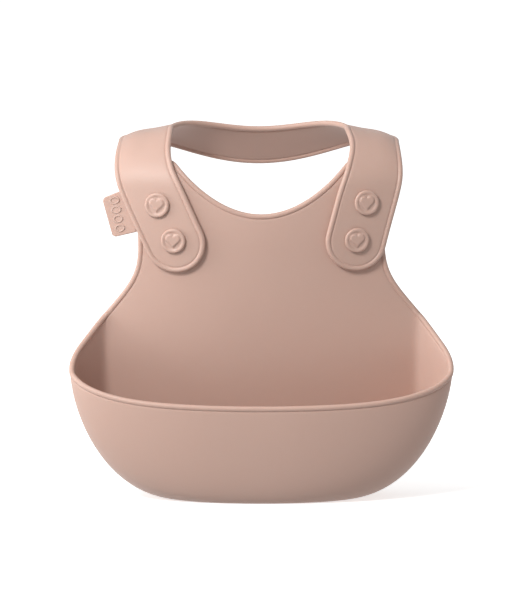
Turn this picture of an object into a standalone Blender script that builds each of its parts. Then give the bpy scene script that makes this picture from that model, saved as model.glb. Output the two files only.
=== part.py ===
"""A silicone bib with a catch pocket: one moulded body, a neckband on press studs, and a side tag."""

import math

import bmesh
import bpy
from mathutils import Matrix, Vector

# Sheet
SHEET = 0.0022  # thickness of the silicone sheet
GAP = 0.0003  # clearance between pieces that touch

# Back panel. Y grows away from the viewer.
PANEL_Y = -0.01357  # the panel's middle line in plan, at its foot
LEAN, LEAN_Z = 2.0, 0.03  # degrees forward above this height, which keeps the bib on its base
BACK_CURVE, BACK_CURVE_Z = 2.6, 0.148  # 1/m: how the chest curves back towards the shoulders
PANEL_SET, PANEL_SET_Z, PANEL_SET_REACH = 0.0010, 0.115, 0.03  # slight set to one side
CREASE_X = 0.095  # where the panel turns into the side wall
CREASE_Z = 0.1072  # where that crease runs out at the edge
CREASE_SOFT = 0.0018
SIDE_SLOPE = 1.6  # forward run of the side wall for each unit outwards
PANEL_ROUND_LOW, PANEL_ROUND_HIGH = 0.6, 0.26  # radii of the panel in plan, at pocket and shoulders
ROUND_FROM, ROUND_TO = 0.08, 0.16
SHOULDER_FROM_Z = 0.17  # a height at which the panel has its full roundness
WAIST_X = 0.0734
ARMHOLE_SLOPE, ARMHOLE_Z, ARMHOLE_SOFT = 0.88, 0.1315, 0.006
SHOULDER_LEAN, SHOULDER_LEAN_Z, SHOULDER_LEAN_SOFT = 0.16, 0.16, 0.008
NECK_LOW_Z, NECK_HIGH_Z, NECK_HALF = 0.1690, 0.2022, 0.0546
SHOULDER_X, SHOULDER_HALF = 0.0640, 0.0130  # the rounded upper end of each shoulder
SHOULDER_BASE_Z, SHOULDER_RISE = 0.1905, 0.0115
BEND_Z, BEND_RADIUS = 0.1843, 0.024  # the shoulders bend back above this height

# Pocket
HALF_WIDTH = 0.1150
CORNER_FROM, CORNER_TO = 1.65, 2.12  # columns over which the side wall rounds into the front
POCKET_DEPTH = 0.058  # from the panel to the front of the rim
RIM_Z, RIM_RISE = 0.062, ((2, 0.0050), (6, 0.0095), (30, 0.0040))  # powers and rises
FRONT_POWER = 2.25
EDGE_SLOPE = 1.12
BASE_HALF_X, BASE_HALF_Y, BASE_Y = 0.05, 0.019, -0.0235  # flat underside, from the panel
BOWL_IN, BOWL_OUT = 1.7, 2.1  # powers of the bowl's profile

# Neckband
LIFT = 0.0036  # the neckband's middle surface stands this far before the panel's
TAB_HALF, BAND_HALF = 0.0182, 0.0140
BAND_SHIFT = -0.0015  # the worn neckband sits a little to the viewer's left
BAND_SHOULDER_X = {"left": 0.0745, "right": 0.0750}
TAB_TURN_Z, TAB_TURN_SOFT = {"left": 0.2046, "right": 0.2142}, 0.008
TAB_TILT = {"left": 24.5, "right": 15.2}  # degrees, top outwards
STUD_LOW_Z = {"left": 0.1529, "right": 0.1531}
TAB_END_Z = {"left": 0.1514, "right": 0.1522}  # middle of each tab's round end
STUD_PITCH = 0.023
HINGE_Z = 0.185  # where each tab folds
HINGE_FORWARD = 0.0016  # the fold's axis stands this far before the strap's middle surface
SHOULDER_SLOPE = 12.0  # degrees, outwards, at the top of the shoulder
SHOULDER_CURL, SHOULDER_CURL_FROM = 38.0, 0.0045  # how fast the band's outer edge curls down there, in 1/m
SHOULDER_IN = 0.0090  # how far the strap turns inwards on its way over the shoulder
TAB_SWELL, TAB_SWELL_Z, TAB_SWELL_REACH = 0.08, 0.198, 0.016  # fuller outer edge below the shoulder
INNER_TUCK = {"left": 0.0, "right": 0.16}  # share by which the inner edge draws in above it
INNER_TUCK_Z, INNER_TUCK_REACH = 0.208, 0.014
BAND_RISE, BAND_SWELL = (0.0010, 0.0004), (0.0022, 0.0012)  # at the nape and beside it, inner and outer edge
NAPE_INNER = Vector((0.0, 0.0653, 0.2092))  # middle of the nape, from the panel
NAPE_OUTER = Vector((0.0, 0.0883, 0.1850))

# Press studs
DISC_RADIUS, DISC_HEIGHT = 0.0075, 0.0018
SHANK_RADIUS, HOLE_RADIUS = 0.0023, 0.0026
BULB_RADIUS, BULB_LENGTH = 0.0036, 0.0042
HOLES_PER_SHOULDER = 3

# Side tag
TAG_THICK, TAG_ROUND = 0.0018, 0.0025
TAG_ROOT_Z = (0.1565, 0.1835)  # where its root meets the shoulder's edge
TAG_END = ((0.0890, 0.1525), (0.0953, 0.1758))  # its outer corners

SIDES = {"left": -1, "right": 1}
DUSTY_PINK = (0.51, 0.33, 0.26, 1.0)


def soft_ramp(distance, softness):
    """Zero before the start and a straight ramp after it, with a soft bend between."""
    if distance > 20 * softness:
        return distance
    return softness * math.log1p(math.exp(distance / softness))


def smooth(value):
    value = min(max(value, 0.0), 1.0)
    return value * value * (3 - 2 * value)


def mix(a, b, share):
    return a + (b - a) * share


def leaned(x, y, z):
    """The point with the whole bib's slight forward lean and the panel's slight set to one side."""
    set_over = PANEL_SET * math.exp(-(((z - PANEL_SET_Z) / PANEL_SET_REACH) ** 2))
    lean = math.tan(math.radians(LEAN)) * soft_ramp(z - LEAN_Z, 0.01)
    back = BACK_CURVE * max(z - BACK_CURVE_Z, 0.0) ** 2
    return Vector((x + set_over, y - lean + back, z))


def panel_y(x, z):
    """Plan depth of the upright panel's middle surface, with its crease and its side wall."""
    roundness = mix(
        1 / PANEL_ROUND_LOW,
        1 / PANEL_ROUND_HIGH,
        smooth((z - ROUND_FROM) / (ROUND_TO - ROUND_FROM)),
    )
    crown = x * x * roundness / 2
    wall = SIDE_SLOPE * soft_ramp(abs(x) - CREASE_X, CREASE_SOFT) * smooth((0.15 - z) / 0.03)
    return PANEL_Y + crown - wall


def bend_back(y, height, radius):
    """(y, z) of a point at this height along a sheet that bends back over the shoulder."""
    angle = max(0.0, (height - BEND_Z) / radius)
    if angle == 0:
        return y, height
    return y + radius * (1 - math.cos(angle)), BEND_Z + radius * math.sin(angle)


def outer_x(z):
    """Half width of the panel between its side edges."""
    armhole = ARMHOLE_SLOPE * soft_ramp(ARMHOLE_Z - z, ARMHOLE_SOFT)
    lean = SHOULDER_LEAN * soft_ramp(z - SHOULDER_LEAN_Z, SHOULDER_LEAN_SOFT)
    return min(WAIST_X + armhole + lean, CREASE_X)


def top_z(x):
    """Height of the panel's upper edge: the neckline, then the rounded shoulder."""
    neckline = mix(NECK_LOW_Z, NECK_HIGH_Z, (x / NECK_HALF) ** 2)
    across = min(abs(abs(x) - SHOULDER_X) / SHOULDER_HALF, 1.0)
    if abs(x) < NECK_HALF - 0.002:
        return neckline
    shoulder = SHOULDER_BASE_Z + SHOULDER_RISE * (1 - across**2.6) ** (1 / 2.6)
    return min(neckline, shoulder)


def round_corner(column, at):
    """Value of a function of the column, with its corner at column 2 drawn round."""
    if not CORNER_FROM < column < CORNER_TO:
        return at(column)
    if column < 2:
        share = (column - CORNER_FROM) / (2 - CORNER_FROM) / 2
    else:
        share = 0.5 + (column - 2) / (CORNER_TO - 2) / 2
    first, corner, last = at(CORNER_FROM), at(2), at(CORNER_TO)
    return first * (1 - share) ** 2 + corner * 2 * share * (1 - share) + last * share**2


def wall_point(column, z):
    """(x, y) of the wall above the bowl. Columns to 1 are the panel, to 2 the side, to 3 the front."""
    return round_corner(column, lambda place: Vector(sharp_wall_point(place, z)))


def sharp_wall_point(column, z):
    if column <= 1:
        x = column * CREASE_X
        return x, panel_y(x, z)
    if column <= 2:
        x = mix(CREASE_X, HALF_WIDTH, column - 1)
        return x, panel_y(x, z)
    corner_y = panel_y(HALF_WIDTH, z)
    angle = (column - 2) * math.pi / 2
    x = HALF_WIDTH * math.cos(angle) ** (2 / FRONT_POWER) if column < 3 else 0.0
    depth = PANEL_Y - POCKET_DEPTH - corner_y
    return x, corner_y + depth * math.sin(angle) ** (2 / FRONT_POWER)


def base_point(column):
    """(x, y) on the outline of the flat underside."""
    if column <= 1:
        degrees = 90 - 50 * column
    elif column <= 2:
        degrees = 40 - 30 * (column - 1)
    else:
        degrees = 10 - 100 * (column - 2)
    angle = math.radians(degrees)
    return BASE_HALF_X * math.cos(angle), PANEL_Y + BASE_Y + BASE_HALF_Y * math.sin(angle)


def edge_z(column):
    """Height of the pocket's own edge, or of the crease's end on the panel."""
    return round_corner(column, sharp_edge_z)


def sharp_edge_z(column):
    if column <= 1:
        return CREASE_Z
    if column <= 2:
        return CREASE_Z - EDGE_SLOPE * (HALF_WIDTH - CREASE_X) * (column - 1)
    out = sharp_wall_point(column, RIM_Z)[0] / HALF_WIDTH
    return RIM_Z + sum(rise * out**power for power, rise in RIM_RISE)


def bowl_height(column):
    """Height over which the bowl's wall rounds up from the underside."""
    if column <= 1:
        return 0.018 + 0.027 * column**2
    if column <= 2:
        return mix(0.045, 0.081, column - 1)
    return mix(0.081, 0.062, smooth(column - 2))


def pocket_point(side, column, share):
    """A point of the pocket, from its underside at share 0 to its edge at share 1."""
    floor = SHEET / 2
    z = mix(floor, edge_z(column), share)
    level = min((z - floor) / (bowl_height(column) - floor), 1.0)
    out = (1 - (1 - level) ** BOWL_IN) ** (1 / BOWL_OUT)
    base, wall = base_point(column), wall_point(column, z)
    return leaned(side * mix(base[0], wall[0], out), mix(base[1], wall[1], out), z)


def panel_point(side, across, share):
    """A point of the panel above the crease, up to the neckline or the shoulder's end."""
    top = NECK_HIGH_Z
    for _ in range(8):
        top = top_z(across * outer_x(top))
    height = mix(CREASE_Z, top, share)
    x = across * outer_x(height)
    y = panel_y(x, height)
    if height > BEND_Z:
        lift = height - BEND_Z
        y += BEND_RADIUS - math.sqrt(BEND_RADIUS**2 - lift**2)
    return leaned(side * x, y, height)


def new_material(name, colour, roughness):
    material = bpy.data.materials.new(name)
    material.use_nodes = True
    shader = material.node_tree.nodes["Principled BSDF"]
    shader.inputs["Base Color"].default_value = colour
    shader.inputs["Roughness"].default_value = roughness
    shader.inputs["Metallic"].default_value = 0.0
    return material


def new_object(name, mesh, collection):
    piece = bpy.data.objects.new(name, mesh)
    collection.objects.link(piece)
    return piece


def add_solidify(piece, thickness):
    wall = piece.modifiers.new("sheet", "SOLIDIFY")
    wall.thickness = thickness
    wall.offset = 0.0
    wall.use_even_offset = True


def finish_sheet(bm, name, collection):
    """Makes one object of an open middle surface and gives it the sheet's thickness."""
    bmesh.ops.remove_doubles(bm, verts=bm.verts, dist=0.00001)
    bmesh.ops.recalc_face_normals(bm, faces=bm.faces)
    mesh = bpy.data.meshes.new(name)
    bm.to_mesh(mesh)
    bm.free()
    mesh.shade_smooth()
    piece = new_object(name, mesh, collection)
    add_solidify(piece, SHEET)
    return piece


def skin(bm, rows, closed):
    """Faces between rows of vertices that hold the same number each."""
    for lower, upper in zip(rows, rows[1:]):
        count = len(lower)
        for i in range(count if closed else count - 1):
            j = (i + 1) % count
            bm.faces.new((lower[i], lower[j], upper[j], upper[i]))


def make_body(collection):
    """The moulded body: panel, shoulders, side walls and pocket as one sheet."""
    across, sides, fronts, pocket_rows, panel_rows = 12, 5, 11, 14, 13
    panel = [(-1, 1 - i / across) for i in range(across)]
    panel += [(1, i / across) for i in range(across + 1)]
    around = [1 + i / sides for i in range(1, sides + 1)]
    around += [2 + i / fronts for i in range(1, fronts + 1)]
    loop = panel + [(1, column) for column in around]
    loop += [(-1, column) for column in reversed(around[:-1])]

    bm = bmesh.new()
    shares = [(i / pocket_rows) ** 1.5 for i in range(pocket_rows + 1)]
    pocket = [[bm.verts.new(pocket_point(*place, share)) for place in loop] for share in shares]
    skin(bm, pocket, True)
    bm.faces.new(reversed(pocket[0]))
    upper = [pocket[-1][: len(panel)]]
    for i in range(1, panel_rows + 1):
        upper.append([bm.verts.new(panel_point(*place, i / panel_rows)) for place in panel])
    skin(bm, upper, False)
    return finish_sheet(bm, "bib_body", collection)


def tab_axis(side_name, height):
    """(x, slope) of a tab's middle line at a height measured along the strap."""
    lean = math.tan(math.radians(TAB_TILT[side_name]))
    turn = TAB_TURN_Z[side_name]
    left_over = soft_ramp(turn - height, TAB_TURN_SOFT)
    slope = lean / (1 + math.exp((height - turn) / TAB_TURN_SOFT))
    return BAND_SHOULDER_X[side_name] + SIDES[side_name] * BAND_SHIFT - lean * left_over, slope


def strap_half(height):
    return mix(TAB_HALF, BAND_HALF, smooth((height - 0.172) / 0.057))


def front_point(side_name, height, across):
    """A point of the strap before the shoulder or on its bend; across is metres outwards."""
    radius = BEND_RADIUS + LIFT
    x, slope = tab_axis(side_name, height)
    tilt = math.atan(slope)
    if across > 0:
        across *= 1 + TAB_SWELL * math.exp(-(((height - TAB_SWELL_Z) / TAB_SWELL_REACH) ** 2))
    else:
        tuck = math.exp(-(((height - INNER_TUCK_Z) / INNER_TUCK_REACH) ** 2))
        across *= 1 - INNER_TUCK[side_name] * tuck
    turned = smooth((height - BEND_Z) / (radius * math.pi / 2))
    x -= SHOULDER_IN * turned * (1 - 0.5 * min(max(across / BAND_HALF, 0.0), 1.0))
    x += across * math.cos(tilt)
    along = height - across * math.sin(tilt)
    y, z = bend_back(panel_y(x, SHOULDER_FROM_Z) - LIFT, along, radius)
    z -= across * math.sin(math.radians(SHOULDER_SLOPE)) * turned
    z -= SHOULDER_CURL * max(across - SHOULDER_CURL_FROM, 0.0) ** 2 * turned
    return leaned(SIDES[side_name] * x, y, z)


def band_point(side_name, angle, share):
    """A point of the band behind the shoulder; share runs from -1, inner edge, to 1, outer edge."""
    top = BEND_Z + (BEND_RADIUS + LIFT) * math.pi / 2
    rails = []
    for edge, nape, power in ((-1, NAPE_INNER, 2), (1, NAPE_OUTER, 3)):
        start = front_point(side_name, top, edge * BAND_HALF)
        middle = leaned(BAND_SHIFT, nape.y + PANEL_Y, nape.z)
        x = mix(middle.x, start.x, math.cos(angle))
        y = mix(start.y, middle.y, math.sin(angle))
        z = mix(start.z, middle.z, math.sin(angle) ** power)
        rails.append(Vector((x, y, z)))
    level = (share + 1) / 2
    start = front_point(side_name, top, share * BAND_HALF)
    ends = [front_point(side_name, top, edge * BAND_HALF) for edge in (-1, 1)]
    curl = (start - ends[0].lerp(ends[1], level)) * math.cos(angle) ** 2
    rise = mix(*BAND_RISE, level) * math.sin(angle) ** 2
    rise += mix(*BAND_SWELL, level) * math.sin(2 * angle) ** 2
    return rails[0].lerp(rails[1], level) + curl + Vector((0, 0, rise))


def tab_end_point(side_name, across, down):
    """A point of a tab's round end, as a square grid pressed into a half disc."""
    start = TAB_END_Z[side_name]
    half = strap_half(start)
    beyond = half * down * math.sqrt(1 - across**2 / 2)
    x, slope = tab_axis(side_name, start)
    tilt = math.atan(slope)
    sideways = half * across * math.sqrt(1 - down**2 / 2)
    x += sideways * math.cos(tilt) - beyond * math.sin(tilt)
    z = start - sideways * math.sin(tilt) - beyond * math.cos(tilt)
    return leaned(SIDES[side_name] * x, panel_y(x, SHOULDER_FROM_Z) - LIFT, z)


def strap_rows(heights):
    return [heights[0] + (heights[1] - heights[0]) * i / heights[2] for i in range(heights[2] + 1)]


def make_neckband(collection):
    """The loop from one fold line over both shoulders and round the nape."""
    shares = [i / 4 - 1 for i in range(9)]
    top = BEND_Z + (BEND_RADIUS + LIFT) * math.pi / 2
    bm = bmesh.new()
    rows = []
    for name in ("left", "right"):
        half_rows = []
        for height in strap_rows((HINGE_Z + GAP / 2, top, 8)):
            points = [front_point(name, height, share * strap_half(height)) for share in shares]
            half_rows.append(points)
        for i in range(1, 13):
            angle = i / 12 * math.pi / 2
            half_rows.append([band_point(name, angle, share) for share in shares])
        rows += half_rows if name == "left" else half_rows[-2::-1]
    skin(bm, [[bm.verts.new(point) for point in row] for row in rows], False)
    return finish_sheet(bm, "neckband", collection)


def make_tab(name, collection):
    """The front end of the strap, from its round end up to its fold line."""
    shares = [i / 5 - 1 for i in range(11)]
    bm = bmesh.new()
    rows = [[tab_end_point(name, share, 1 - i / 5) for share in shares] for i in range(5)]
    for height in strap_rows((TAB_END_Z[name], HINGE_Z - GAP / 2, 6)):
        rows.append([front_point(name, height, share * strap_half(height)) for share in shares])
    skin(bm, [[bm.verts.new(point) for point in row] for row in rows], False)
    return finish_sheet(bm, name + "_tab", collection)


def stud_height(name, number):
    """Height along the strap of a stud or hole, counted upwards from the lowest."""
    return STUD_LOW_Z[name] + number * STUD_PITCH * math.cos(math.radians(TAB_TILT[name]))


def stud_frame(name, number):
    """Where a stud stands on the strap's middle surface, with its Z pointing at the viewer."""
    height = stud_height(name, number)
    step = 0.001
    place = front_point(name, height, 0)
    up = front_point(name, height + step, 0) - front_point(name, height - step, 0)
    out = front_point(name, height, step) - front_point(name, height, -step)
    axis = up.cross(out).normalized()
    if axis.y > 0:
        axis.negate()
    up = up.normalized()
    side = up.cross(axis).normalized()
    turn = Matrix((side, up, axis)).transposed()
    return Matrix.Translation(place) @ turn.to_4x4()


def cut_holes(piece, frames, cutters):
    """Cuts a round hole through a sheet at each frame."""
    for i, frame in enumerate(frames):
        bm = bmesh.new()
        bmesh.ops.create_cone(
            bm,
            cap_ends=True,
            segments=20,
            radius1=HOLE_RADIUS,
            radius2=HOLE_RADIUS,
            depth=0.02,
        )
        mesh = bpy.data.meshes.new(f"{piece.name}_hole_{i + 1}")
        bm.to_mesh(mesh)
        bm.free()
        cutter = new_object(mesh.name, mesh, cutters)
        cutter.matrix_world = frame
        cutter.hide_render = True
        cutter.display_type = "WIRE"
        cut = piece.modifiers.new(f"hole_{i + 1}", "BOOLEAN")
        cut.operation = "DIFFERENCE"
        cut.object = cutter


def make_stud(name, frame, collection):
    """A press stud: round face before the strap, shank through both sheets, bulb behind."""
    face_back = SHEET / 2 + GAP
    bulb_top = -(LIFT + SHEET / 2 + GAP)
    profile = [(0, face_back + DISC_HEIGHT), (DISC_RADIUS - 0.0008, face_back + DISC_HEIGHT)]
    profile += [(DISC_RADIUS, face_back + DISC_HEIGHT - 0.0008), (DISC_RADIUS, face_back)]
    profile += [(SHANK_RADIUS, face_back), (SHANK_RADIUS, bulb_top), (BULB_RADIUS, bulb_top)]
    profile += [(BULB_RADIUS, bulb_top - 0.001)]
    profile += [(SHANK_RADIUS, bulb_top - BULB_LENGTH + 0.0004), (0, bulb_top - BULB_LENGTH)]
    mesh = bpy.data.meshes.new(name)
    points = [(radius, 0, height) for radius, height in profile]
    mesh.from_pydata(points, [(i, i + 1) for i in range(len(points) - 1)], [])
    piece = new_object(name, mesh, collection)
    piece.matrix_world = frame
    turn = piece.modifiers.new("turned", "SCREW")
    turn.axis = "Z"
    turn.steps = 20
    turn.render_steps = 20
    turn.use_merge_vertices = True
    turn.merge_threshold = 0.00001
    turn.use_smooth_shade = True
    return piece


def make_tag(collection):
    """The small flat flap at the edge of the shoulder on the viewer's left."""
    root = [(outer_x(z) + 2 * GAP, z) for z in TAG_ROOT_Z]
    corners = [root[0], TAG_END[0], TAG_END[1], root[1]]
    edge = root[0][0]
    slope = edge / PANEL_ROUND_HIGH
    bm = bmesh.new()
    verts = []
    for x, z in corners:
        y = panel_y(edge, SHOULDER_FROM_Z) + slope * (x - edge)
        verts.append(bm.verts.new(leaned(-x, y, z)))
    bm.faces.new(verts)
    rounding = {"offset": TAG_ROUND, "segments": 5, "profile": 0.5, "affect": "VERTICES"}
    bmesh.ops.bevel(bm, geom=verts[1:3], **rounding)
    mesh = bpy.data.meshes.new("side_tag")
    bm.to_mesh(mesh)
    bm.free()
    piece = new_object("side_tag", mesh, collection)
    add_solidify(piece, TAG_THICK)
    return piece


def fold_axis(name):
    """A point on a tab's fold axis and the axis's direction, which lifts the tab as it turns."""
    half = strap_half(HINGE_Z)
    inner, outer = (front_point(name, HINGE_Z, across) for across in (-half, half))
    place = front_point(name, HINGE_Z, 0) - Vector((0, HINGE_FORWARD, 0))
    direction = (outer - inner).normalized() * -SIDES[name]
    return place, direction


def new_pivot(name, place, parent, collection):
    """An empty that stands on a joint's axis."""
    pivot = bpy.data.objects.new(name, None)
    pivot.empty_display_size = 0.01
    pivot.location = place
    collection.objects.link(pivot)
    if parent:
        hang_on(pivot, parent)
    return pivot


def hang_on(piece, pivot):
    """Parents a piece to its joint's empty and leaves it where it stands."""
    piece.parent = pivot
    bpy.context.view_layer.update()
    piece.matrix_parent_inverse = pivot.matrix_world.inverted()


def main():
    for old in list(bpy.data.objects):
        bpy.data.objects.remove(old)
    parts = bpy.data.collections.new("silicone_bib")
    cutters = bpy.data.collections.new("cutters")
    for collection in (parts, cutters):
        bpy.context.scene.collection.children.link(collection)

    body = make_body(parts)
    frames = [stud_frame(name, i) for name in SIDES for i in range(HOLES_PER_SHOULDER)]
    cut_holes(body, frames, cutters)
    body.data.materials.append(new_material("body_silicone", DUSTY_PINK, 0.5))
    tag = make_tag(parts)
    tag.data.materials.append(new_material("tag_silicone", DUSTY_PINK, 0.5))

    release = new_pivot("neckband_release", (0, PANEL_Y, SHOULDER_FROM_Z), None, parts)
    band = make_neckband(parts)
    band.data.materials.append(new_material("band_silicone", DUSTY_PINK, 0.48))
    hang_on(band, release)
    for name in SIDES:
        fold = new_pivot(name + "_tab_lift", fold_axis(name)[0], release, parts)
        tab = make_tab(name, parts)
        tab.data.materials.append(new_material(name + "_tab_silicone", DUSTY_PINK, 0.48))
        cut_holes(tab, [stud_frame(name, 0), stud_frame(name, 1)], cutters)
        hang_on(tab, fold)
        for number, level in enumerate(("lower", "upper")):
            stud = make_stud(f"{name}_{level}_stud", stud_frame(name, number), parts)
            stud.data.materials.append(new_material(stud.name + "_silicone", DUSTY_PINK, 0.42))
            hang_on(stud, fold)


main()
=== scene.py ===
"""Looks of a silicone bib: body with a catch pocket, neckband, press studs, side tag and stage."""

import math

import bmesh
import bpy
import numpy as np
from bpy.props import FloatProperty, FloatVectorProperty, PointerProperty
from mathutils import Matrix, Vector


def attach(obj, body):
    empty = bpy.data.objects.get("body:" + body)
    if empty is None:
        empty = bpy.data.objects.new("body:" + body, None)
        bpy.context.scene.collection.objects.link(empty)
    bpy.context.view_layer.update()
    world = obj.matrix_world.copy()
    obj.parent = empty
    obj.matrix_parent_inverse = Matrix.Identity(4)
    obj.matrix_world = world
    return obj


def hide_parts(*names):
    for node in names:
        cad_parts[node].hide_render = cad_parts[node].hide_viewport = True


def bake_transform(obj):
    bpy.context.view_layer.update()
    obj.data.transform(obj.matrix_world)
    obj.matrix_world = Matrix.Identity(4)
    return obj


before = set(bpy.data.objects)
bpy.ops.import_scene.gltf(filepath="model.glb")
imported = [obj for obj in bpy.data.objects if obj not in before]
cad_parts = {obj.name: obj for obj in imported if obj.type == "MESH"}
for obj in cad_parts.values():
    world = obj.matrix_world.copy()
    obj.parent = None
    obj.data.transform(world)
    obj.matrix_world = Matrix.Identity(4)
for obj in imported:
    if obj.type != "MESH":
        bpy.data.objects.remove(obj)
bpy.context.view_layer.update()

bl_info = {
    "name": "Silicone Bib",
    "version": (1, 0, 0),
    "blender": (4, 5, 0),
    "location": "View3D > Sidebar > Bib",
    "description": "Models a soft silicone bib around its packed frame",
    "category": "Add Mesh",
}

GAP = 0.0003  # clearance between pieces that touch

# Rolled edge, in radii of the bead from the free edge
GROOVE_ROWS = (1.22, 1.43, 1.6, 1.72, 1.8, 1.87, 1.94, 2.05, 2.2, 2.4, 2.7)
GROOVE_AT = 1.88
GROOVE_REACH = 0.0006  # half width of the groove beside the bead, in metres

# Back panel. Y grows away from the viewer.
PANEL_Y = -0.01357  # the panel's middle line in plan, at its foot
LEAN, LEAN_Z, LEAN_SOFT = 2.0, 0.03, 0.01  # degrees forward above this height
BACK_CURVE, BACK_CURVE_Z = 2.6, 0.148  # 1/m: how the chest curves back towards the shoulders
PANEL_SET, PANEL_SET_Z, PANEL_SET_REACH = 0.0010, 0.115, 0.03  # slight set to one side
CREASE_X = 0.095  # where the panel turns into the side wall
CREASE_Z = 0.1072  # where that crease runs out at the edge
CREASE_SOFT = 0.0018  # how softly it turns
SIDE_SLOPE = 1.6  # forward run of the side wall for each unit outwards
SIDE_TOP_Z, SIDE_FADE = 0.15, 0.03  # height where the side wall ends, and its fade
PANEL_ROUND_LOW, PANEL_ROUND_HIGH = 0.6, 0.26  # radii of the panel in plan, at pocket and shoulders
ROUND_FROM, ROUND_TO = 0.08, 0.16  # heights between which the panel gets rounder
SHOULDER_FROM_Z = 0.17  # a height at which the panel has its full roundness
WAIST_X = 0.0734  # half width between the armholes
PANEL_HALF = 0.073  # half width by which the beads' lines are spread over the panel
ARMHOLE_SLOPE, ARMHOLE_Z, ARMHOLE_SOFT = 0.88, 0.1315, 0.006  # the edge widens below this height
SHOULDER_LEAN, SHOULDER_LEAN_Z, SHOULDER_LEAN_SOFT = 0.16, 0.16, 0.008  # and above this one
NECK_LOW_Z, NECK_HIGH_Z, NECK_HALF = 0.1690, 0.2022, 0.0546  # the neckline is a parabola
NECK_BLEND = 0.003  # width over which the neckline turns into the shoulder's end
SHOULDER_X, SHOULDER_HALF = 0.0640, 0.0130  # the rounded upper end of each shoulder
SHOULDER_BASE_Z, SHOULDER_RISE, SHOULDER_POWER = 0.1905, 0.0115, 2.6
BEND_Z, BEND_RADIUS = 0.1843, 0.024  # the shoulders bend back above this height

# Pocket
HALF_WIDTH = 0.1150
CORNER_FROM, CORNER_TO = 1.65, 2.12  # columns over which the side wall rounds into the front
POCKET_DEPTH = 0.058  # from the panel to the front of the rim
RIM_Z, RIM_RISE = 0.062, ((2, 0.0050), (6, 0.0095), (30, 0.0040))  # powers and rises
FRONT_POWER = 2.25  # how square the front is in plan
EDGE_SLOPE = 1.12  # drop of the side wall's edge for each unit outwards
BASE_HALF_X, BASE_HALF_Y, BASE_Y = 0.05, 0.019, -0.0235  # flat underside, from the panel
BOWL_IN, BOWL_OUT = 1.7, 2.1  # powers of the bowl's profile
BOWL_MIDDLE, BOWL_CREASE, BOWL_SIDE, BOWL_FRONT = 0.018, 0.045, 0.081, 0.062  # heights of its wall

# Neckband
LIFT = 0.0036  # the neckband's middle surface stands this far before the panel's
TAB_HALF, BAND_HALF = 0.0182, 0.0140  # half widths of a tab and of the band behind the shoulder
NARROW_FROM, NARROW_OVER = 0.172, 0.057  # height where the tab starts to narrow, and over how much
BAND_SHIFT = -0.0015  # the worn neckband sits a little to the viewer's left
BAND_SHOULDER_X = {"left": 0.0745, "right": 0.0750}  # its middle line at the shoulders
TAB_TURN_Z, TAB_TURN_SOFT = {"left": 0.2046, "right": 0.2142}, 0.008
TAB_TILT = {"left": 24.5, "right": 15.2}  # degrees, top outwards
STUD_LOW_Z = {"left": 0.1529, "right": 0.1531}  # height of each lower stud
TAB_END_Z = {"left": 0.1514, "right": 0.1522}  # middle of each tab's round end
STUD_PITCH = 0.023
HINGE_Z = 0.185  # a height on each tab's middle line, near the shoulder's bend
SHOULDER_SLOPE = 12.0  # degrees, outwards, at the top of the shoulder
SHOULDER_CURL, SHOULDER_CURL_FROM = 38.0, 0.0045  # the band's outer edge curls down there, in 1/m
SHOULDER_IN = 0.0090  # how far the strap turns inwards on its way over the shoulder
TAB_SWELL, TAB_SWELL_Z, TAB_SWELL_REACH = 0.08, 0.198, 0.016  # fuller outer edge
INNER_TUCK = {"left": 0.0, "right": 0.16}  # share by which the inner edge draws in
INNER_TUCK_Z, INNER_TUCK_REACH = 0.208, 0.014
BAND_RISE, BAND_SWELL = (0.0010, 0.0004), (0.0022, 0.0012)  # at the nape and beside it, both edges
NAPE_INNER = Vector((0.0, 0.0653, 0.2092))  # middle of the nape, from the panel
NAPE_OUTER = Vector((0.0, 0.0883, 0.1850))

# Press studs
SHANK_RADIUS = 0.0023
FACE_HIGH, FACE_EDGE = 0.00185, 0.0011  # height of the face and the round of its edge
HOLLOW_FROM, HOLLOW_OVER = 0.0046, 0.0015  # radius where the dish round the heart starts to rise
HEART_CENTRE, HEART_SPAN = 0.56, 1.207  # middle and width of a heart of unit size
HEART_OUT, HEART_SOFT = 0.0004, 0.0017  # where the heart's slope starts, and its length
BULB_RADIUS, BULB_LENGTH = 0.0036, 0.0042
HOLES_PER_SHOULDER = 3

# Side tag
TAG_THICK = 0.0018
TAG_ROOT_Z = (0.1565, 0.1835)  # where its root meets the shoulder's edge
TAG_END = ((0.0890, 0.1525), (0.0953, 0.1758))  # its outer corners
TAG_ROUND, TAG_INSET, TAG_EDGE = 0.0025, 0.0009, 0.0005  # round corners, rim loop, round edge
TAG_RINGS, RING_START, RING_PITCH, RING_SIDEWAYS = 4, 0.17, 0.22, 0.002
RING_RADIUS, RING_WIRE, RING_STRETCH, RING_RELIEF = 0.0019, 0.0005, 1.4, 1.15

# Stage
FLOOR_GLOW, WORLD_STRENGTH = 0.62, 0.46

SIDES = {"left": -1, "right": 1}


def sizes():
    return bpy.context.scene.bib_sizes


def colours():
    return bpy.context.scene.bib_colours


# Shapes


def soft_ramp(distance, softness):
    """Zero before the start and a straight ramp after it, with a soft bend between."""
    if distance > 20 * softness:
        return distance
    return softness * math.log1p(math.exp(distance / softness))


def smooth(value):
    value = min(max(value, 0.0), 1.0)
    return value * value * (3 - 2 * value)


def mix(a, b, share):
    return a + (b - a) * share


def leaned(x, y, z):
    """The point with the whole bib's slight forward lean and the panel's slight set to one side."""
    set_over = PANEL_SET * math.exp(-(((z - PANEL_SET_Z) / PANEL_SET_REACH) ** 2))
    lean = math.tan(math.radians(LEAN)) * soft_ramp(z - LEAN_Z, LEAN_SOFT)
    back = BACK_CURVE * max(z - BACK_CURVE_Z, 0.0) ** 2
    return Vector((x + set_over, y - lean + back, z))


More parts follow.
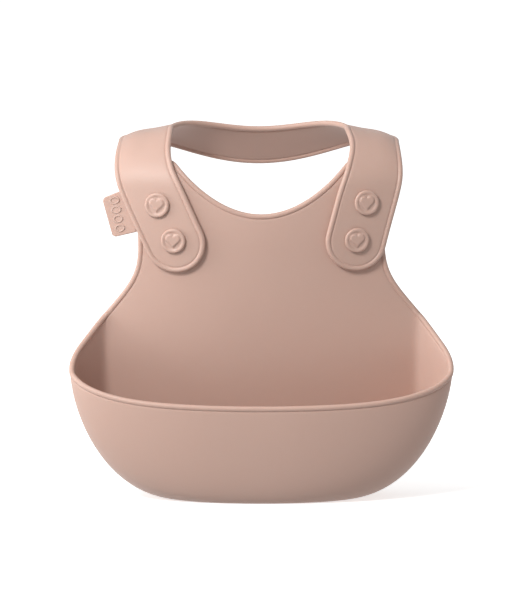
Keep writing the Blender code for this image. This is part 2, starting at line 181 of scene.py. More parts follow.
def panel_y(x, z):
    """Plan depth of the upright panel's middle surface, with its crease and its side wall."""
    rounding = smooth((z - ROUND_FROM) / (ROUND_TO - ROUND_FROM))
    crown = x * x * mix(1 / PANEL_ROUND_LOW, 1 / PANEL_ROUND_HIGH, rounding) / 2
    wall = SIDE_SLOPE * soft_ramp(abs(x) - CREASE_X, CREASE_SOFT)
    wall *= smooth((SIDE_TOP_Z - z) / SIDE_FADE)
    return PANEL_Y + crown - wall


def outer_x(z):
    """Half width of the panel between its side edges."""
    armhole = ARMHOLE_SLOPE * soft_ramp(ARMHOLE_Z - z, ARMHOLE_SOFT)
    lean = SHOULDER_LEAN * soft_ramp(z - SHOULDER_LEAN_Z, SHOULDER_LEAN_SOFT)
    return min(WAIST_X + armhole + lean, CREASE_X)


def top_z(x):
    """Height of the panel's upper edge: the neckline, then the rounded shoulder."""
    neckline = mix(NECK_LOW_Z, NECK_HIGH_Z, (x / NECK_HALF) ** 2)
    across = min(abs(abs(x) - SHOULDER_X) / SHOULDER_HALF, 1.0)
    arch = (1 - across**SHOULDER_POWER) ** (1 / SHOULDER_POWER)
    shoulder = SHOULDER_BASE_Z + SHOULDER_RISE * arch
    start = SHOULDER_X - SHOULDER_HALF
    return mix(neckline, min(neckline, shoulder), smooth((abs(x) - start) / NECK_BLEND))


def round_corner(column, at):
    """Value of a function of the column, with its corner at column 2 drawn round."""
    if not CORNER_FROM < column < CORNER_TO:
        return at(column)
    if column < 2:
        share = (column - CORNER_FROM) / (2 - CORNER_FROM) / 2
    else:
        share = 0.5 + (column - 2) / (CORNER_TO - 2) / 2
    first, corner, last = at(CORNER_FROM), at(2), at(CORNER_TO)
    return first * (1 - share) ** 2 + corner * 2 * share * (1 - share) + last * share**2


def wall_point(column, z):
    """(x, y) of the wall above the bowl; columns to 1 are panel, to 2 side, to 3 front."""
    return round_corner(column, lambda place: Vector(sharp_wall_point(place, z)))


def sharp_wall_point(column, z):
    if column <= 1:
        x = column * CREASE_X
        return x, panel_y(x, z)
    if column <= 2:
        x = mix(CREASE_X, HALF_WIDTH, column - 1)
        return x, panel_y(x, z)
    corner_y = panel_y(HALF_WIDTH, z)
    angle = (column - 2) * math.pi / 2
    x = HALF_WIDTH * max(math.cos(angle), 0.0) ** (2 / FRONT_POWER)
    depth = PANEL_Y - POCKET_DEPTH - corner_y
    return x, corner_y + depth * math.sin(angle) ** (2 / FRONT_POWER)


def base_point(column):
    """(x, y) on the outline of the flat underside."""
    behind, front, crease = 90, -90, 40  # degrees round the underside
    if column <= 1:
        degrees = mix(behind, crease, column)
    else:
        degrees = mix(crease, front, ((column - 1) / 2) ** 2.1)
    angle = math.radians(degrees)
    return BASE_HALF_X * math.cos(angle), PANEL_Y + BASE_Y + BASE_HALF_Y * math.sin(angle)


def edge_z(column):
    """Height of the pocket's own edge, or of the crease's end on the panel."""
    return round_corner(column, sharp_edge_z)


def sharp_edge_z(column):
    if column <= 1:
        return CREASE_Z
    if column <= 2:
        return CREASE_Z - EDGE_SLOPE * (HALF_WIDTH - CREASE_X) * (column - 1)
    out = sharp_wall_point(column, RIM_Z)[0] / HALF_WIDTH
    return RIM_Z + sum(rise * out**power for power, rise in RIM_RISE)


def bowl_height(column):
    """Height over which the bowl's wall rounds up from the underside."""
    if column <= 1:
        return mix(BOWL_MIDDLE, BOWL_CREASE, column**2)
    if column <= 2:
        return mix(BOWL_CREASE, BOWL_SIDE, smooth(column - 1))
    return mix(BOWL_SIDE, BOWL_FRONT, smooth(column - 2))


def pocket_point(side, column, z):
    """A point of the pocket at a height between its underside and its edge."""
    floor = sizes().sheet / 2
    level = min(max((z - floor) / (bowl_height(column) - floor), 0.0), 1.0)
    out = (1 - (1 - level) ** BOWL_IN) ** (1 / BOWL_OUT)
    base, wall = base_point(column), wall_point(column, z)
    return leaned(side * mix(base[0], wall[0], out), mix(base[1], wall[1], out), z)


def panel_point(side, across, height):
    """A point of the panel above the crease; its shoulders bend back."""
    x = across * outer_x(height)
    y = panel_y(x, height)
    if height > BEND_Z:
        y += BEND_RADIUS - math.sqrt(BEND_RADIUS**2 - (height - BEND_Z) ** 2)
    return leaned(side * x, y, height)


def tab_axis(side_name, height):
    """(x, slope) of a tab's middle line at a height measured along the strap."""
    lean = math.tan(math.radians(TAB_TILT[side_name]))
    turn = TAB_TURN_Z[side_name]
    left_over = soft_ramp(turn - height, TAB_TURN_SOFT)
    slope = lean / (1 + math.exp((height - turn) / TAB_TURN_SOFT))
    return BAND_SHOULDER_X[side_name] + SIDES[side_name] * BAND_SHIFT - lean * left_over, slope


def strap_half(height):
    return mix(TAB_HALF, BAND_HALF, smooth((height - NARROW_FROM) / NARROW_OVER))


def front_point(side_name, height, across):
    """A point of the strap before the shoulder or on its bend; across is metres outwards."""
    radius = BEND_RADIUS + LIFT
    x, slope = tab_axis(side_name, height)
    tilt = math.atan(slope)
    if across > 0:
        across *= 1 + TAB_SWELL * math.exp(-(((height - TAB_SWELL_Z) / TAB_SWELL_REACH) ** 2))
    else:
        tuck = math.exp(-(((height - INNER_TUCK_Z) / INNER_TUCK_REACH) ** 2))
        across *= 1 - INNER_TUCK[side_name] * tuck
    turned = smooth((height - BEND_Z) / (radius * math.pi / 2))
    x -= SHOULDER_IN * turned * (1 - 0.5 * min(max(across / BAND_HALF, 0.0), 1.0))
    x += across * math.cos(tilt)
    along = height - across * math.sin(tilt)
    y, z = panel_y(x, SHOULDER_FROM_Z) - LIFT, along
    if along > BEND_Z:
        angle = (along - BEND_Z) / radius
        y, z = y + radius * (1 - math.cos(angle)), BEND_Z + radius * math.sin(angle)
    z -= across * math.sin(math.radians(SHOULDER_SLOPE)) * turned
    z -= SHOULDER_CURL * max(across - SHOULDER_CURL_FROM, 0.0) ** 2 * turned
    return leaned(SIDES[side_name] * x, y, z)


def band_point(side_name, angle, share):
    """A point of the band behind the shoulder; share runs from -1, inner edge, to 1, outer edge."""
    top = BEND_Z + (BEND_RADIUS + LIFT) * math.pi / 2
    rails = []
    for edge, nape, power in ((-1, NAPE_INNER, 2), (1, NAPE_OUTER, 3)):
        start = front_point(side_name, top, edge * BAND_HALF)
        middle = leaned(BAND_SHIFT, nape.y + PANEL_Y, nape.z)
        x = mix(middle.x, start.x, math.cos(angle))
        y = mix(start.y, middle.y, math.sin(angle))
        z = mix(start.z, middle.z, math.sin(angle) ** power)
        rails.append(Vector((x, y, z)))
    level = (share + 1) / 2
    start = front_point(side_name, top, share * BAND_HALF)
    ends = [front_point(side_name, top, edge * BAND_HALF) for edge in (-1, 1)]
    curl = (start - ends[0].lerp(ends[1], level)) * math.cos(angle) ** 2
    rise = mix(*BAND_RISE, level) * math.sin(angle) ** 2
    rise += mix(*BAND_SWELL, level) * math.sin(2 * angle) ** 2
    return rails[0].lerp(rails[1], level) + curl + Vector((0, 0, rise))


def tab_end_point(side_name, radius, angle):
    """A point of a tab's round end, at a radius and angle round its lower stud."""
    start = TAB_END_Z[side_name]
    x, slope = tab_axis(side_name, start)
    tilt = math.atan(slope)
    sideways, beyond = radius * math.sin(angle), radius * math.cos(angle)
    x += sideways * math.cos(tilt) - beyond * math.sin(tilt)
    z = start - sideways * math.sin(tilt) - beyond * math.cos(tilt)
    return leaned(SIDES[side_name] * x, panel_y(x, SHOULDER_FROM_Z) - LIFT, z)


def stud_frame(name, number):
    """Where a stud stands on the strap's middle surface, with its Z pointing at the viewer."""
    height = STUD_LOW_Z[name] + number * STUD_PITCH * math.cos(math.radians(TAB_TILT[name]))
    step = 0.001
    place = front_point(name, height, 0)
    up = front_point(name, height + step, 0) - front_point(name, height - step, 0)
    out = front_point(name, height, step) - front_point(name, height, -step)
    axis = up.cross(out).normalized()
    if axis.y > 0:
        axis.negate()
    up = up.normalized()
    side = up.cross(axis).normalized()
    turn = Matrix((side, up, axis)).transposed()
    return Matrix.Translation(place) @ turn.to_4x4()


def upright(place):
    """A stud's frame turned about its own axis until its heart stands upright."""
    axis = place.to_3x3().col[2]
    up = (Vector((0, 0, 1)) - axis * axis.z).normalized()
    turn = Matrix((up.cross(axis), up, axis)).transposed()
    return Matrix.Translation(place.translation) @ turn.to_4x4()


# Sheets with a rolled edge


def bead_depths():
    """Distances from a free edge at which the rolled edge's outline needs a line of vertices."""
    radius = sizes().bead_radius
    roll = [radius * (1 - math.cos(math.radians(15 * i))) for i in range(7)]
    return roll + [radius * share for share in GROOVE_ROWS]


def bead_half(depth):
    """Half thickness of the sheet at a distance from its free edge: round bead, fine groove."""
    radius = sizes().bead_radius
    roll = math.sqrt(max(radius**2 - (depth - radius) ** 2, 0.0))
    if depth < radius:
        return roll
    groove = sizes().groove * math.exp(-(((depth - GROOVE_AT * radius) / GROOVE_REACH) ** 2))
    return max(roll, sizes().sheet / 2 - groove)


def face_normals(points, faces):
    """Unit normal at each vertex of a surface."""
    normals = np.zeros_like(points)
    for face in faces:
        a, b, c, d = (points[i] for i in (face if len(face) == 4 else (*face, face[0])))
        normal = np.cross(c - a, d - b) if len(face) == 4 else np.cross(b - a, c - a)
        length = np.linalg.norm(normal)
        if length > 0:
            for i in face:
                normals[i] += normal / math.sqrt(length)
    return normals / np.linalg.norm(normals, axis=1)[:, None]


def free_edges(faces):
    """Edges that only one face uses, in that face's direction."""
    used = {}
    for face in faces:
        for a, b in zip(face, face[1:] + face[:1]):
            key = (min(a, b), max(a, b))
            used[key] = None if key in used else (a, b)
    return [edge for edge in used.values() if edge]


def edge_distance(points, edges):
    """Distance of each point from the nearest free edge."""
    nearest = np.full(len(points), 1.0)
    starts = points[[a for a, b in edges]]
    runs = points[[b for a, b in edges]] - starts
    squares = np.maximum((runs**2).sum(1), 1e-12)
    for first in range(0, len(points), 500):
        some = points[first : first + 500, None, :] - starts[None]
        along = np.clip((some * runs[None]).sum(2) / squares, 0, 1)
        gaps = some - along[:, :, None] * runs[None]
        nearest[first : first + 500] = np.sqrt((gaps**2).sum(2)).min(1)
    return nearest


def thicken(points, faces):
    """Front and back points of a sheet with rolled free edges, and the set of its edge vertices."""
    points = np.array(points, float)
    edges = free_edges(faces)
    rim = {i for edge in edges for i in edge}
    halves = np.array([bead_half(depth) for depth in edge_distance(points, edges)])
    halves[list(rim)] = 0.0
    offset = face_normals(points, faces) * halves[:, None]
    return points + offset, points - offset, rim


def sheet_object(name, front, back, faces, rim):
    """One closed object of a sheet's two faces. Where the sheet was cut it gets a flat end."""
    count = len(front)
    behind = [i if i in rim else i + count for i in range(count)]
    solid = [tuple(face) for face in faces]
    solid += [tuple(behind[i] for i in reversed(face)) for face in faces]
    ends = []
    for a, b in free_edges(faces):
        if not (a in rim and b in rim):
            ends.append(tuple(dict.fromkeys([b, a, behind[a], behind[b]])))
    mesh = bpy.data.meshes.new(name)
    mesh.from_pydata([*map(tuple, front), *map(tuple, back)], [], solid + ends)
    mesh.shade_smooth()
    piece = bpy.data.objects.new(name, mesh)
    bpy.context.scene.collection.objects.link(piece)
    bm = bmesh.new()
    bm.from_mesh(mesh)
    bm.faces.ensure_lookup_table()
    for face in bm.faces[len(solid) :]:
        face.smooth = False
        for edge in face.edges:
            edge.smooth = False
    loose = [vert for vert in bm.verts if not vert.link_faces]
    bmesh.ops.delete(bm, geom=loose, context="VERTS")
    bm.to_mesh(mesh)
    bm.free()
    return piece


def deselect_all():
    for piece in bpy.context.selected_objects:
        piece.select_set(False)


def only(piece):
    """Makes one object the active and only selected one."""
    deselect_all()
    piece.hide_set(False)
    bpy.context.view_layer.objects.active = piece
    piece.select_set(True)


def apply_modifiers(piece):
    only(piece)
    for modifier in list(piece.modifiers):
        bpy.ops.object.modifier_apply(modifier=modifier.name)


def cut_holes(piece, frames):
    """Cuts a round stud hole through a sheet at each frame."""
    for place in frames:
        deselect_all()
        bpy.ops.mesh.primitive_cylinder_add(
            vertices=40, radius=sizes().hole_radius, depth=0.012, end_fill_type="NGON"
        )
        cutter = bpy.context.active_object
        cutter.data.transform(place)
        cut = piece.modifiers.new("hole", "BOOLEAN")
        cut.operation = "DIFFERENCE"
        cut.solver = "EXACT"
        cut.object = cutter
        apply_modifiers(piece)
        bpy.data.objects.remove(cutter)


# Materials


class Term:
    """A number that changes over a surface, as a node socket with Python's operators."""

    def __init__(self, shader, socket):
        self.shader = shader
        self.socket = socket

    def combine(self, operation, first, second):
        node = self.shader.node("ShaderNodeMath", {"operation": operation}, {0: first, 1: second})
        return Term(self.shader, node.outputs[0])

    def __add__(self, other):
        return self.combine("ADD", self, other)

    def __radd__(self, other):
        return self.combine("ADD", other, self)

    def __sub__(self, other):
        return self.combine("SUBTRACT", self, other)

    def __rsub__(self, other):
        return self.combine("SUBTRACT", other, self)

    def __mul__(self, other):
        return self.combine("MULTIPLY", self, other)

    def __rmul__(self, other):
        return self.combine("MULTIPLY", other, self)


class Shader:
    """A new material whose nodes are all added by one method."""

    def __init__(self, name):
        self.material = bpy.data.materials.new(name)
        self.material.use_nodes = True
        self.tree = self.material.node_tree
        self.tree.nodes.clear()
        self.place = self.node("ShaderNodeTexCoord", {}, {}).outputs["Object"]

    def node(self, kind, settings, inputs):
        node = self.tree.nodes.new(kind)
        for name, value in settings.items():
            setattr(node, name, value)
        for name, value in inputs.items():
            value = value.socket if isinstance(value, Term) else value
            if isinstance(value, bpy.types.NodeSocket):
                self.tree.links.new(value, node.inputs[name])
            else:
                node.inputs[name].default_value = value
        return node

    def noise(self, scale, detail, roughness=0.5):
        inputs = {"Vector": self.place, "Scale": scale, "Detail": detail, "Roughness": roughness}
        return Term(self, self.node("ShaderNodeTexNoise", {}, inputs).outputs["Fac"])

    def blend(self, share, first, second):
        """A colour between two, by a number from 0 to 1."""
        settings = {"data_type": "RGBA", "clamp_factor": True}
        inputs = {0: share, 6: (*first, 1.0), 7: (*second, 1.0)}
        return self.node("ShaderNodeMix", settings, inputs).outputs[2]

    def bump(self, height, strength, distance):
        inputs = {"Height": height, "Strength": strength, "Distance": distance}
        return self.node("ShaderNodeBump", {}, inputs).outputs["Normal"]

    def finish(self, inputs):
        shader = self.node("ShaderNodeBsdfPrincipled", {}, inputs)
        self.node("ShaderNodeOutputMaterial", {}, {"Surface": shader.outputs[0]})
        return self.material


def tinted(colour, factor):
    return tuple(min(channel * factor, 1.0) for channel in colour)


def silicone(name, colour, roughness, grain):
    """Satin moulded silicone: faint clouds of tone, a fine matt grain and slow moulding waves."""
    shader = Shader(name)
    clouds = shader.noise(14.0, 3.0)
    flecks = shader.noise(260.0, 2.0)
    tone = clouds * 0.7 + flecks * 0.3
    grain_height = shader.noise(grain, 2.0) * 0.6 + shader.noise(grain * 0.28, 2.0) * 0.4
    waves = shader.noise(22.0, 1.0)
    grained = shader.bump(grain_height, 0.10, 0.0002)
    inputs = {"Height": waves, "Strength": 0.12, "Distance": 0.0015, "Normal": grained}
    normal = shader.node("ShaderNodeBump", {}, inputs).outputs["Normal"]
    return shader.finish(
        {
            "Base Color": shader.blend(tone, tinted(colour, 0.965), tinted(colour, 1.035)),
            "Roughness": roughness - 0.05 + 0.1 * flecks,
            "Normal": normal,
            "Specular IOR Level": 0.42,
            "Subsurface Weight": 0.12,
            "Subsurface Radius": (0.006, 0.0035, 0.0025),
            "Subsurface Scale": 1.0,
            "Sheen Weight": 0.12,
            "Sheen Roughness": 0.5,
        }
    )


def plain_floor(colour):
    shader = Shader("pale_floor")
    tone = shader.noise(1.5, 2.0)
    return shader.finish(
        {
            "Base Color": shader.blend(tone, tinted(colour, 0.99), tinted(colour, 1.0)),
            "Roughness": 0.75 + 0.1 * tone,
            "Specular IOR Level": 0.2,
            "Emission Color": (*colour, 1.0),
            "Emission Strength": FLOOR_GLOW,
        }
    )


# Pieces


def body_surface():
    """Points and faces of the body's middle surface: pocket, underside, panel and shoulders."""
    depths = bead_depths()
    across_steps, side_steps, front_steps = 46, 18, 44
    base_rows, rows, panel_rows = 5, 34, 30
    start = 1 - depths[-1] / PANEL_HALF
    half = [start * i / across_steps for i in range(across_steps + 1)]
    half += [1 - depth / PANEL_HALF for depth in reversed(depths[:-1])]
    panel = [(-1, u) for u in reversed(half[1:])] + [(1, u) for u in half]
    run = HALF_WIDTH - CREASE_X
    near = [depth / run for depth in depths[1:]]
    around = [1 + share for share in near]
    around += [1 + mix(near[-1], 1, i / side_steps) for i in range(1, side_steps + 1)]
    around += [2 + i / front_steps for i in range(1, front_steps + 1)]
    loop = panel + [(1, column) for column in around]
    loop += [(-1, column) for column in reversed(around[:-1])]
    floor = sizes().sheet / 2

    def steepness(column):
        """How much longer a line down the wall is than its distance from the sloping edge."""
        step = 0.01
        low, high = max(column - step, 1.0), min(column + step, 3.0)
        if column < 1 or high <= low:
            return 1.0
        run = math.dist(wall_point(low, RIM_Z), wall_point(high, RIM_Z))
        return min(math.hypot(1, (edge_z(high) - edge_z(low)) / max(run, 1e-6)), 2.0)

    stretch = {column: steepness(column) for _, column in loop}
    points, faces, grid = [], [], []

    def add_row(row):
        grid.append(list(range(len(points), len(points) + len(row))))
        points.extend(row)
        return grid[-1]

    middle = Vector((0, PANEL_Y + BASE_Y, floor))
    points.append(middle)
    rim = [(s * base_point(c)[0], base_point(c)[1], floor) for s, c in loop]
    for i in range(1, base_rows):
        add_row([middle.lerp(Vector(corner), i / base_rows) for corner in rim])
    for i in range(rows + 1):
        share = (i / rows) ** 1.7
        add_row(
            [
                pocket_point(s, c, mix(floor, edge_z(c) - depths[-1] * stretch[c], share))
                for s, c in loop
            ]
        )
    for depth in reversed(depths[:-1]):
        add_row([pocket_point(s, c, edge_z(c) - depth * stretch[c]) for s, c in loop])
    count = len(loop)
    faces += [(0, grid[0][i], grid[0][(i + 1) % count]) for i in range(count)]
    for lower, upper in zip(grid, grid[1:]):
        faces += [
            (lower[i], upper[i], upper[(i + 1) % count], lower[(i + 1) % count])
            for i in range(count)
        ]

    tops = []
    for _, u in panel:
        top = NECK_HIGH_Z
        for _ in range(12):
            top = top_z(u * outer_x(top))
        x = u * outer_x(top)
        slope = (top_z(x + 0.0005) - top_z(max(x - 0.0005, 0))) / 0.001
        tops.append((top, min(math.hypot(1, slope), 1.7)))
    below = grid[-1][: len(panel)]
    upper_rows = [below]
    shares = [i / panel_rows for i in range(1, panel_rows + 1)]
    for share in shares:
        row = []
        for (s, u), (top, steep) in zip(panel, tops):
            row.append(panel_point(s, u, mix(CREASE_Z, top - depths[-1] * steep, share)))
        upper_rows.append(add_row(row))
    for depth in reversed(depths[:-1]):
        row = [panel_point(s, u, top - depth * k) for (s, u), (top, k) in zip(panel, tops)]
        upper_rows.append(add_row(row))
    for lower, upper in zip(upper_rows, upper_rows[1:]):
        faces += [
            (lower[i], upper[i], upper[i + 1], lower[i + 1]) for i in range(len(panel) - 1)
        ]
    return points, faces


def strap_surface():
    """Points, faces and each face's side of the neckband's middle surface, tab end to tab end."""
    depths = bead_depths()
    reach = depths[-1]
    inner_steps, end_steps, front_rows, band_rows = 9, 28, 36, 44
    top = BEND_Z + (BEND_RADIUS + LIFT) * math.pi / 2
    points, faces, halves = [], [], []

    def spread(half):
        """Distances from the middle line to its edge, with the lines that the bead needs."""
        inner = [(half - reach) * i / inner_steps for i in range(inner_steps + 1)]
        return inner + [half - depth for depth in reversed(depths[:-1])]

    def add_row(row):
        points.extend(row)
        return list(range(len(points) - len(row), len(points)))

    nape = None
    for name in SIDES:
        first_face = len(faces)
        start = TAB_END_Z[name]
        shares = spread(strap_half(start))
        rows = []
        for i in range(front_rows + 1):
            height = mix(start, top, i / front_rows)
            offsets = spread(strap_half(height))
            signed = [-r for r in reversed(offsets[1:])] + offsets
            rows.append(add_row([front_point(name, height, across) for across in signed]))
        signed = [-r / BAND_HALF for r in reversed(spread(BAND_HALF)[1:])]
        signed += [r / BAND_HALF for r in spread(BAND_HALF)]
        steps = [i / band_rows for i in range(1, band_rows)] + [0.99, 0.995, 1.0]
        for step in steps:
            if step == 1.0 and nape:
                rows.append(nape)
                continue
            rows.append(add_row([band_point(name, step * math.pi / 2, s) for s in signed]))
        nape = nape or rows[-1]
        for lower, upper in zip(rows, rows[1:]):
            faces += [
                (lower[i], lower[i + 1], upper[i + 1], upper[i]) for i in range(len(lower) - 1)
            ]

        middle = len(shares) - 1
        centre = rows[0][middle]
        fan = []
        for j in range(1, len(shares)):
            ring = [rows[0][middle - j]]
            for i in range(1, end_steps):
                angle = mix(-90, 90, i / end_steps)
                points.append(tab_end_point(name, shares[j], math.radians(angle)))
                ring.append(len(points) - 1)
            ring.append(rows[0][middle + j])
            fan.append(ring)
        faces += [(centre, fan[0][i], fan[0][i + 1]) for i in range(end_steps)]
        for inner, outer in zip(fan, fan[1:]):
            faces += [(inner[i], outer[i], outer[i + 1], inner[i + 1]) for i in range(end_steps)]
        if SIDES[name] > 0:
            faces[first_face:] = [tuple(reversed(face)) for face in faces[first_face:]]
        halves += [name] * (len(faces) - first_face)
    return points, faces, halves


class BIB_OT_body(bpy.types.Operator):
    """Models the moulded body with its rolled edge and its stud holes"""

    bl_idname = "bib.body"
    bl_label = "Body"

    def execute(self, context):
        points, faces = body_surface()
        front, back, rim = thicken(points, faces)
        piece = sheet_object("body", front, back, faces, rim)
        cut_holes(piece, [stud_frame(n, i) for n in SIDES for i in range(HOLES_PER_SHOULDER)])
        piece.data.materials.append(silicone("body_silicone", colours().silicone, 0.5, 2600.0))
        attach(piece, "bib")
        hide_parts("bib_body")
        return {"FINISHED"}


class BIB_OT_neckband(bpy.types.Operator):
    """Models the two halves of the neckband, each from the nape to its round tab"""

    bl_idname = "bib.neckband"
    bl_label = "Neckband"

    def execute(self, context):
        points, faces, halves = strap_surface()
        front, back, rim = thicken(points, faces)
        for name in SIDES:
            half = [face for face, owner in zip(faces, halves) if owner == name]
            piece = sheet_object(name + "_band", front, back, half, rim)
            finish = silicone(name + "_band_silicone", colours().silicone, 0.48, 2600.0)
            piece.data.materials.append(finish)
            fold = stud_frame(name, 0).to_3x3()
            place = front_point(name, HINGE_Z, 0)
            down = (fold @ Vector((0, -0.9, 0.43))).normalized()
            place - down * 0.008
            place + down * 0.006
            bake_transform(piece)
            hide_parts(name + "_tab", *(["neckband"] if name == "left" else []))
        return {"FINISHED"}


def heart_depth(x, y):
    """Distance from the outline of a unit heart that stands on the origin, negative inside."""
    x = abs(x)
    if x + y > 1:
        return math.hypot(x - 0.25, y - 0.75) - math.sqrt(2) / 4
    level = max(x + y, 0) / 2
    near = min(math.hypot(x, y - 1), math.hypot(x - level, y - level))
    return math.copysign(near, x - y)


def stud_mesh():
    """A press stud about its own origin: face with a heart in relief, shank and bulb."""
    radius = sizes().stud_face / 2
    back = sizes().sheet / 2 + GAP
    under = -(LIFT + sizes().sheet / 2 + GAP)
    face = [(radius * i / 34, FACE_HIGH) for i in range(1, 29)]
    corner = []
    for degrees in range(0, 101, 10):
        angle = math.radians(degrees)
        out, down = FACE_EDGE * (1 - math.sin(angle)), FACE_EDGE * (1 - math.cos(angle))
        corner.append((radius - out, FACE_HIGH - down))
    foot = [(radius - 0.0004, 0.0002), (radius - 0.0007, 0.0)]
    profile = [(r, back + h) for r, h in face + corner + foot]
    profile += [(SHANK_RADIUS + 0.0006, back), (SHANK_RADIUS, back - 0.0004)]
    profile += [(SHANK_RADIUS, under + 0.0003), (SHANK_RADIUS + 0.0003, under)]
    lip = 0.0005
    profile.append((BULB_RADIUS - 0.0004, under - 0.0001))
    for degrees in range(0, 81, 10):
        angle = math.radians(degrees)
        down = lip + (BULB_LENGTH - lip) * math.sin(angle)
        profile.append((BULB_RADIUS * math.cos(angle), under - down))

    around = 96
    bm = bmesh.new()
    top = bm.verts.new((0, 0, back + FACE_HIGH))
    rings = []
    for r, h in profile:
        ring = []
        for i in range(around):
            angle = math.tau * i / around
            ring.append(bm.verts.new((r * math.cos(angle), r * math.sin(angle), h)))
        rings.append(ring)
    tip = bm.verts.new((0, 0, under - BULB_LENGTH))
    for i in range(around):
        j = (i + 1) % around
        bm.faces.new((top, rings[0][i], rings[0][j]))
        bm.faces.new((tip, rings[-1][j], rings[-1][i]))
        for inner, outer in zip(rings, rings[1:]):
            bm.faces.new((inner[i], outer[i], outer[j], inner[j]))
    scale = sizes().heart_width / HEART_SPAN
    hollow = sizes().stud_hollow
    for vert in bm.verts:
        if vert.co.z > back + 0.001:
            x, y, _ = vert.co
            depth = heart_depth(x / scale, y / scale + HEART_CENTRE) * scale
            heart = (hollow + sizes().heart_relief) * smooth((HEART_OUT - depth) / HEART_SOFT)
            dish = hollow * (1 - smooth((math.hypot(x, y) - HOLLOW_FROM) / HOLLOW_OVER))
            vert.co.z += heart - dish
    bmesh.ops.recalc_face_normals(bm, faces=bm.faces)
    mesh = bpy.data.meshes.new("stud")
    bm.to_mesh(mesh)
    bm.free()
    mesh.shade_smooth()
    return mesh


class BIB_OT_studs(bpy.types.Operator):
    """Models the four press studs, each with a small heart in relief"""

    bl_idname = "bib.studs"
    bl_label = "Press studs"

    def execute(self, context):
        pattern = stud_mesh()
        for name in SIDES:
            for number, level in enumerate(("lower", "upper")):
                node = f"{name}_{level}_stud"
                mesh = pattern.copy()
                mesh.transform(upright(stud_frame(name, number)))
                piece = bpy.data.objects.new(node + "_relief", mesh)
                context.scene.collection.objects.link(piece)
                finish = silicone(node + "_silicone", colours().silicone, 0.42, 3000.0)
                piece.data.materials.append(finish)
                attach(piece, name + "_tab")
                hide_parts(node)
        return {"FINISHED"}


class BIB_OT_tag(bpy.types.Operator):
    """Models the side tag with its row of raised rings"""

    bl_idname = "bib.tag"
    bl_label = "Side tag"

    def execute(self, context):
        root = [(outer_x(z) + 2 * GAP, z) for z in TAG_ROOT_Z]
        edge = root[0][0]
        slope = edge / PANEL_ROUND_HIGH
        corners = []
        for x, z in (root[0], TAG_END[0], TAG_END[1], root[1]):
            y = panel_y(edge, SHOULDER_FROM_Z) + slope * (x - edge)
            corners.append(leaned(-x, y, z))
        deselect_all()
        bpy.ops.mesh.primitive_plane_add(size=0.02)
        piece = context.active_object
        piece.name = "tag"
        order = [corners[1], corners[0], corners[2], corners[3]]
        for vert, place in zip(piece.data.vertices, order):
            vert.co = place
        bpy.ops.object.mode_set(mode="EDIT")
        bpy.ops.mesh.select_all(action="DESELECT")
        bm = bmesh.from_edit_mesh(piece.data)
        for vert in bm.verts:
            vert.select = min((vert.co - corners[i]).length for i in (1, 2)) < 0.0001
        bm.select_flush_mode()
        bmesh.update_edit_mesh(piece.data)
        bpy.ops.mesh.bevel(offset=TAG_ROUND, segments=8, profile=0.5, affect="VERTICES")
        bpy.ops.mesh.select_all(action="SELECT")
        bpy.ops.mesh.inset(thickness=TAG_INSET)
        bpy.ops.object.mode_set(mode="OBJECT")
        piece.modifiers.new("sheet", "SOLIDIFY").thickness = TAG_THICK
        piece.modifiers["sheet"].offset = 0.0
        rounding = piece.modifiers.new("edge", "BEVEL")
        rounding.width, rounding.segments = TAG_EDGE, 4
        rounding.limit_method = "ANGLE"
        apply_modifiers(piece)
        normal = (corners[1] - corners[0]).cross(corners[3] - corners[0]).normalized()
        if normal.y > 0:
            normal.negate()
        foot = corners[0].lerp(corners[1], 0.5)
        head = corners[3].lerp(corners[2], 0.5)
        up = (head - foot).normalized()
        side = up.cross(normal).normalized()
        turn = Matrix((side, up, normal)).transposed().to_4x4()
        rings = []
        for i in range(TAG_RINGS):
            place = foot.lerp(head, RING_START + RING_PITCH * i) + normal * (TAG_THICK / 2)
            place += (corners[1] - corners[0]).normalized() * RING_SIDEWAYS
            deselect_all()
            bpy.ops.mesh.primitive_torus_add(
                major_segments=40,
                minor_segments=12,
                major_radius=RING_RADIUS,
                minor_radius=RING_WIRE,
            )
            ring = context.active_object
            shape = Matrix.Diagonal((RING_STRETCH, 1.0, RING_RELIEF, 1.0))
            ring.data.transform(Matrix.Translation(place) @ turn @ shape)
            rings.append(ring)
        deselect_all()
        for ring in rings:
            ring.select_set(True)
        piece.select_set(True)
        context.view_layer.objects.active = piece
        bpy.ops.object.join()
        bpy.ops.object.shade_smooth_by_angle(angle=math.radians(40))
        piece.data.materials.append(silicone("tag_silicone", colours().silicone, 0.5, 2600.0))
        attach(piece, "bib")
        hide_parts("side_tag")
        return {"FINISHED"}


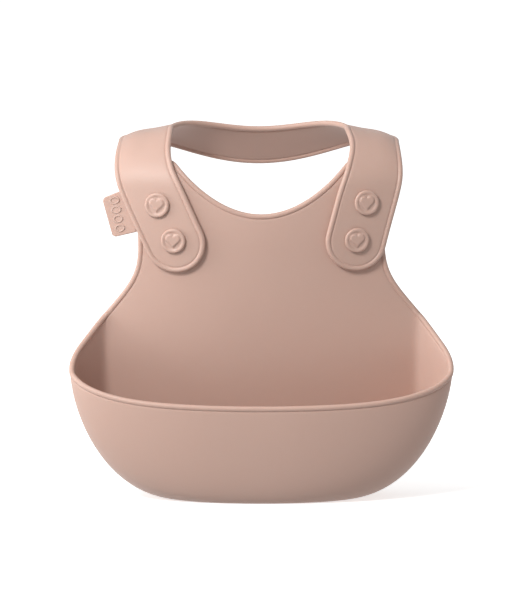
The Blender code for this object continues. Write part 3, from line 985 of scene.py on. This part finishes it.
class BIB_OT_stage(bpy.types.Operator):
    """Sets the pale floor, the soft studio lights and the camera"""

    bl_idname = "bib.stage"
    bl_label = "Stage"

    def execute(self, context):
        deselect_all()
        bpy.ops.mesh.primitive_circle_add(vertices=64, radius=12, fill_type="NGON")
        floor = context.active_object
        floor.name = "floor"
        floor.data.materials.append(plain_floor(colours().floor))
        floor.visible_diffuse = False
        self.light("key", (-0.72, -1.00, 1.10), 0.45, 18.5)
        self.light("side", (-1.55, -0.20, 0.38), 0.8, 11.5)
        self.light("top", (-1.00, -0.15, 1.30), 0.5, 4.5)
        world = bpy.data.worlds.new("studio")
        world.use_nodes = True
        world.node_tree.nodes["Background"].inputs["Color"].default_value = (1, 1, 1, 1)
        world.node_tree.nodes["Background"].inputs["Strength"].default_value = WORLD_STRENGTH
        context.scene.world = world
        context.scene.view_settings.view_transform = "Standard"
        self.camera(context)
        return {"FINISHED"}

    def light(self, name, place, size, power):
        lamp = bpy.data.lights.new(name, "AREA")
        lamp.shape = "DISK"
        lamp.size = size
        lamp.energy = power
        holder = bpy.data.objects.new(name, lamp)
        holder.location = place
        aim = Vector((0, 0, 0.11)) - Vector(place)
        holder.rotation_euler = aim.to_track_quat("-Z", "Y").to_euler()
        bpy.context.scene.collection.objects.link(holder)

    def camera(self, context):
        """A long lens straight before the bib, a little above it."""
        distance, elevation = 8.0, math.radians(10)
        view_height = 0.366
        target = Vector((0, PANEL_Y, 0.1131))
        lens = bpy.data.cameras.new("camera")
        lens.sensor_fit = "VERTICAL"
        lens.sensor_height = 36
        lens.lens = 36 * distance / view_height
        lens.clip_end = 100
        holder = bpy.data.objects.new("camera", lens)
        holder.location = target + distance * Vector((0, -math.cos(elevation), math.sin(elevation)))
        holder.rotation_euler = (math.pi / 2 - elevation, 0, 0)
        context.scene.collection.objects.link(holder)
        context.scene.camera = holder


class BibSizes(bpy.types.PropertyGroup):
    sheet: FloatProperty(
        name="Sheet", description="Thickness of the moulded sheet", default=0.0022, unit="LENGTH"
    )
    bead_radius: FloatProperty(
        name="Bead radius", description="Radius of the rolled edge", default=0.00165, unit="LENGTH"
    )
    groove: FloatProperty(
        name="Groove", description="Depth of the groove by the bead", default=0.0003, unit="LENGTH"
    )
    hole_radius: FloatProperty(
        name="Hole radius", description="Radius of the stud holes", default=0.0026, unit="LENGTH"
    )
    stud_face: FloatProperty(
        name="Stud face", description="Diameter of a stud's face", default=0.015, unit="LENGTH"
    )
    heart_width: FloatProperty(
        name="Heart width", description="Width of a stud's heart", default=0.0098, unit="LENGTH"
    )
    heart_relief: FloatProperty(
        name="Heart relief", description="Rise of a heart over rim", default=0.0004, unit="LENGTH"
    )
    stud_hollow: FloatProperty(
        name="Stud hollow", description="Depth of the dish by it", default=0.00055, unit="LENGTH"
    )


class BibColours(bpy.types.PropertyGroup):
    silicone: FloatVectorProperty(
        name="Silicone",
        description="Colour of the silicone",
        default=(0.525, 0.348, 0.285),
        subtype="COLOR",
    )
    floor: FloatVectorProperty(
        name="Floor", description="Colour of the floor", default=(0.93, 0.93, 0.93), subtype="COLOR"
    )


class BIB_PT_panel(bpy.types.Panel):
    """Lists the bib's pieces and their sizes"""

    bl_idname = "BIB_PT_panel"
    bl_label = "Silicone Bib"
    bl_space_type = "VIEW_3D"
    bl_region_type = "UI"
    bl_category = "Bib"

    def draw(self, context):
        column = self.layout.column()
        for group in (context.scene.bib_sizes, context.scene.bib_colours):
            for name in group.__annotations__:
                column.prop(group, name)
        for operator in OPERATORS:
            column.operator(operator.bl_idname)


OPERATORS = (BIB_OT_body, BIB_OT_neckband, BIB_OT_studs, BIB_OT_tag, BIB_OT_stage)
CLASSES = (BibSizes, BibColours, *OPERATORS, BIB_PT_panel)


def register():
    for cls in CLASSES:
        bpy.utils.register_class(cls)
    bpy.types.Scene.bib_sizes = PointerProperty(type=BibSizes)
    bpy.types.Scene.bib_colours = PointerProperty(type=BibColours)


def unregister():
    del bpy.types.Scene.bib_sizes
    del bpy.types.Scene.bib_colours
    for cls in reversed(CLASSES):
        bpy.utils.unregister_class(cls)


def main():
    register()
    bpy.ops.bib.body()
    bpy.ops.bib.neckband()
    bpy.ops.bib.studs()
    bpy.ops.bib.tag()
    bpy.ops.bib.stage()


if __name__ == "__main__":
    main()
